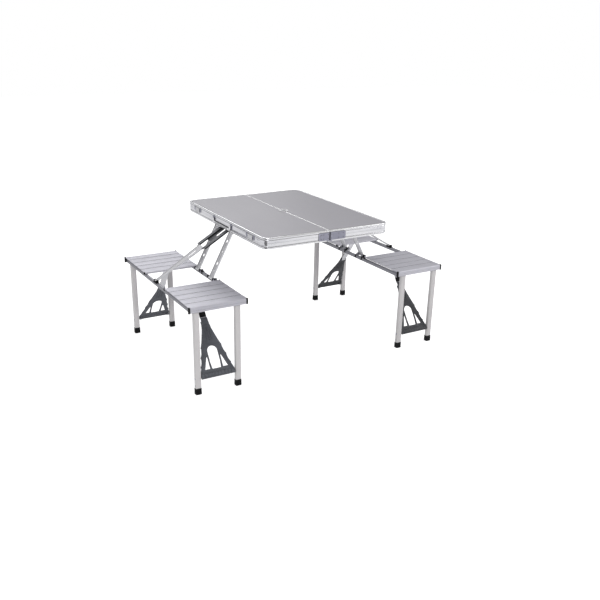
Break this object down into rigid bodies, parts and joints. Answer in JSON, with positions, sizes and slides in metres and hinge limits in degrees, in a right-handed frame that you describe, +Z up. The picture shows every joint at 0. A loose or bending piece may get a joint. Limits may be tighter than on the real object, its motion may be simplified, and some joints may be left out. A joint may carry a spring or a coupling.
{
  "type": "folding picnic table",
  "caption": "Folding case-style picnic table: a split aluminium top with slatted seats on hinged benches, tubular legs and folding plastic braces.",
  "frame": {"origin": "on the floor under the middle of the table top", "axes": "+Z up; X across the two case halves; Y along the centre seam"},
  "size_m": [1.36, 0.8476, 0.669],
  "materials": {
    "bright_aluminium": "satin anodised",
    "seat_aluminium": "satin anodised, grooved",
    "top_laminate": "matt grey laminate",
    "leg_enamel": "satin enamel",
    "grey_plastic": "moulded, fine texture",
    "black_plastic": "moulded, matt",
    "zinc_steel": "zinc plated",
    "dark_steel": "dark coated"
  },
  "bodies": {
    "left_case": {"left_case_frame": "bright_aluminium", "left_top_panel": "top_laminate", "left_parasol_ring": "grey_plastic", "left_strut_shaft": "zinc_steel", "left_stay_bracket": "zinc_steel", "left_front_seam_plate": "zinc_steel", "left_back_seam_plate": "zinc_steel"},
    "left_struts": {"left_front_strut": "bright_aluminium", "left_back_strut": "bright_aluminium"},
    "left_bench": {"left_inner_rail": "bright_aluminium", "left_outer_rail": "bright_aluminium", "left_front_seat": "seat_aluminium", "left_back_seat": "seat_aluminium"},
    "left_arm": {"left_main_arm": "bright_aluminium"},
    "left_stays": {"left_front_stay": "dark_steel", "left_back_stay": "dark_steel"},
    "left_front_legs": {"left_front_legs": "leg_enamel", "left_front_foot_inner": "black_plastic", "left_front_foot_outer": "black_plastic"},
    "left_front_link": {"left_front_brace_link": "bright_aluminium"},
    "left_front_panel": {"left_front_brace_panel": "grey_plastic"},
    "left_back_legs": {"left_back_legs": "leg_enamel", "left_back_foot_inner": "black_plastic", "left_back_foot_outer": "black_plastic"},
    "left_back_link": {"left_back_brace_link": "bright_aluminium"},
    "left_back_panel": {"left_back_brace_panel": "grey_plastic"},
    "right_case": {"right_case_frame": "bright_aluminium", "right_top_panel": "top_laminate", "right_parasol_ring": "grey_plastic", "right_strut_shaft": "zinc_steel", "right_stay_bracket": "zinc_steel", "right_front_seam_plate": "zinc_steel", "right_back_seam_plate": "zinc_steel", "front_catch": "zinc_steel", "back_catch": "zinc_steel"},
    "right_struts": {"right_front_strut": "bright_aluminium", "right_back_strut": "bright_aluminium"},
    "right_bench": {"right_inner_rail": "bright_aluminium", "right_outer_rail": "bright_aluminium", "right_front_seat": "seat_aluminium", "right_back_seat": "seat_aluminium"},
    "right_arm": {"right_main_arm": "bright_aluminium"},
    "right_stays": {"right_front_stay": "dark_steel", "right_back_stay": "dark_steel"},
    "right_front_legs": {"right_front_legs": "leg_enamel", "right_front_foot_inner": "black_plastic", "right_front_foot_outer": "black_plastic"},
    "right_front_link": {"right_front_brace_link": "bright_aluminium"},
    "right_front_panel": {"right_front_brace_panel": "grey_plastic"},
    "right_back_legs": {"right_back_legs": "leg_enamel", "right_back_foot_inner": "black_plastic", "right_back_foot_outer": "black_plastic"},
    "right_back_link": {"right_back_brace_link": "bright_aluminium"},
    "right_back_panel": {"right_back_brace_panel": "grey_plastic"},
    "carry_handle": {"carry_handle": "grey_plastic"},
    "front_latch": {"front_latch": "zinc_steel"},
    "back_latch": {"back_latch": "zinc_steel"}
  },
  "joints": [
    {"name": "left_bench_fold", "type": "hinge", "parent": "left_case", "child": "left_struts", "pos_m": [-0.305, 0, 0.646], "axis": [0, -1, 0], "range_deg": [0, 117.61]},
    {"name": "left_bench_level", "type": "hinge", "parent": "left_struts", "child": "left_bench", "pos_m": [-0.43, 0, 0.407], "axis": [0, -1, 0], "range_deg": [-117.61, 0]},
    {"name": "left_arm_fold", "type": "hinge", "parent": "left_bench", "child": "left_arm", "pos_m": [-0.669, 0, 0.408], "axis": [0, -1, 0], "range_deg": [-30.43, 0]},
    {"name": "left_stay_fold", "type": "hinge", "parent": "left_case", "child": "left_stays", "pos_m": [-0.262, 0, 0.647], "axis": [0, -1, 0], "range_deg": [0, 149.59]},
    {"name": "left_front_leg_fold", "type": "hinge", "parent": "left_bench", "child": "left_front_legs", "pos_m": [-0.549, -0.399, 0.391], "axis": [1, 0, 0], "range_deg": [0, 90]},
    {"name": "left_front_link_fold", "type": "hinge", "parent": "left_bench", "child": "left_front_link", "pos_m": [-0.549, -0.18, 0.391], "axis": [1, 0, 0], "range_deg": [-55.29, 0]},
    {"name": "left_front_knee_fold", "type": "hinge", "parent": "left_front_link", "child": "left_front_panel", "pos_m": [-0.549, -0.26187, 0.27286], "axis": [1, 0, 0], "range_deg": [0, 180]},
    {"name": "left_back_leg_fold", "type": "hinge", "parent": "left_bench", "child": "left_back_legs", "pos_m": [-0.549, 0.399, 0.391], "axis": [-1, 0, 0], "range_deg": [0, 90]},
    {"name": "left_back_link_fold", "type": "hinge", "parent": "left_bench", "child": "left_back_link", "pos_m": [-0.549, 0.18, 0.391], "axis": [-1, 0, 0], "range_deg": [-55.29, 0]},
    {"name": "left_back_knee_fold", "type": "hinge", "parent": "left_back_link", "child": "left_back_panel", "pos_m": [-0.549, 0.26187, 0.27286], "axis": [-1, 0, 0], "range_deg": [0, 180]},
    {"name": "right_bench_fold", "type": "hinge", "parent": "right_case", "child": "right_struts", "pos_m": [0.305, 0, 0.646], "axis": [0, 1, 0], "range_deg": [0, 117.61]},
    {"name": "right_bench_level", "type": "hinge", "parent": "right_struts", "child": "right_bench", "pos_m": [0.43, 0, 0.407], "axis": [0, 1, 0], "range_deg": [-117.61, 0]},
    {"name": "right_arm_fold", "type": "hinge", "parent": "right_bench", "child": "right_arm", "pos_m": [0.669, 0, 0.408], "axis": [0, 1, 0], "range_deg": [-30.43, 0]},
    {"name": "right_stay_fold", "type": "hinge", "parent": "right_case", "child": "right_stays", "pos_m": [0.262, 0, 0.647], "axis": [0, 1, 0], "range_deg": [0, 149.59]},
    {"name": "right_front_leg_fold", "type": "hinge", "parent": "right_bench", "child": "right_front_legs", "pos_m": [0.549, -0.399, 0.391], "axis": [1, 0, 0], "range_deg": [0, 90]},
    {"name": "right_front_link_fold", "type": "hinge", "parent": "right_bench", "child": "right_front_link", "pos_m": [0.549, -0.18, 0.391], "axis": [1, 0, 0], "range_deg": [-55.29, 0]},
    {"name": "right_front_knee_fold", "type": "hinge", "parent": "right_front_link", "child": "right_front_panel", "pos_m": [0.549, -0.26187, 0.27286], "axis": [1, 0, 0], "range_deg": [0, 180]},
    {"name": "right_back_leg_fold", "type": "hinge", "parent": "right_bench", "child": "right_back_legs", "pos_m": [0.549, 0.399, 0.391], "axis": [-1, 0, 0], "range_deg": [0, 90]},
    {"name": "right_back_link_fold", "type": "hinge", "parent": "right_bench", "child": "right_back_link", "pos_m": [0.549, 0.18, 0.391], "axis": [-1, 0, 0], "range_deg": [-55.29, 0]},
    {"name": "right_back_knee_fold", "type": "hinge", "parent": "right_back_link", "child": "right_back_panel", "pos_m": [0.549, 0.26187, 0.27286], "axis": [-1, 0, 0], "range_deg": [0, 180]},
    {"name": "seam_hinge", "type": "hinge", "parent": "left_case", "child": "right_case", "pos_m": [0, 0, 0.618], "axis": [0, 1, 0], "range_deg": [0, 60]},
    {"name": "handle_lift", "type": "hinge", "parent": "left_case", "child": "carry_handle", "pos_m": [-0.3358, 0, 0.6485], "axis": [0, 1, 0], "range_deg": [0, 90]},
    {"name": "front_latch_lift", "type": "hinge", "parent": "left_case", "child": "front_latch", "pos_m": [-0.3328, -0.288, 0.6555], "axis": [0, 1, 0], "range_deg": [0, 75]},
    {"name": "back_latch_lift", "type": "hinge", "parent": "left_case", "child": "back_latch", "pos_m": [-0.3328, 0.288, 0.6555], "axis": [0, 1, 0], "range_deg": [0, 75]}
  ],
  "couplings": [
    {"joint": "left_bench_level", "follows": "left_bench_fold", "ratio": -1},
    {"joint": "left_arm_fold", "follows": "left_bench_fold", "ratio": -0.25867},
    {"joint": "left_stay_fold", "follows": "left_bench_fold", "ratio": 1.2718},
    {"joint": "left_front_link_fold", "follows": "left_front_leg_fold", "ratio": -0.61418},
    {"joint": "left_front_knee_fold", "follows": "left_front_leg_fold", "ratio": 2},
    {"joint": "left_back_link_fold", "follows": "left_back_leg_fold", "ratio": -0.61418},
    {"joint": "left_back_knee_fold", "follows": "left_back_leg_fold", "ratio": 2},
    {"joint": "right_bench_level", "follows": "right_bench_fold", "ratio": -1},
    {"joint": "right_arm_fold", "follows": "right_bench_fold", "ratio": -0.25867},
    {"joint": "right_stay_fold", "follows": "right_bench_fold", "ratio": 1.2718},
    {"joint": "right_front_link_fold", "follows": "right_front_leg_fold", "ratio": -0.61418},
    {"joint": "right_front_knee_fold", "follows": "right_front_leg_fold", "ratio": 2},
    {"joint": "right_back_link_fold", "follows": "right_back_leg_fold", "ratio": -0.61418},
    {"joint": "right_back_knee_fold", "follows": "right_back_leg_fold", "ratio": 2}
  ]
}
